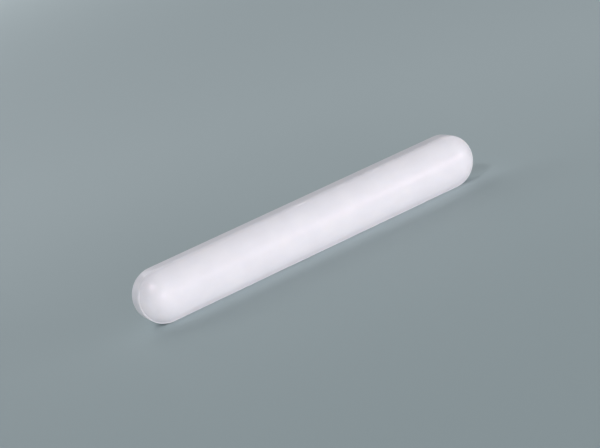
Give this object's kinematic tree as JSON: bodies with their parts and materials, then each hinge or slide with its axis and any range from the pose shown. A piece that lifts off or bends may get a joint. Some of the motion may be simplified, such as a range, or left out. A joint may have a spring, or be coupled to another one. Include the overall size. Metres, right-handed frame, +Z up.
{
  "type": "magnetic stir bar",
  "caption": "Smooth round-ended bar that a magnetic stirrer spins to mix liquids: a rod magnet sealed in a white moulded jacket, with a flat band between shallow rounded faces.",
  "frame": {"origin": "middle of the flat side that the bar rests on", "axes": "+X along the bar, +Y across it along the direction in which the jacket was pressed, +Z up, away from the side it rests on"},
  "size_m": [0.07, 0.0098, 0.01],
  "materials": {
    "jacket": "satin",
    "magnet": "ground"
  },
  "bodies": {
    "root": {"jacket": "jacket", "magnet": "magnet"}
  },
  "joints": []
}
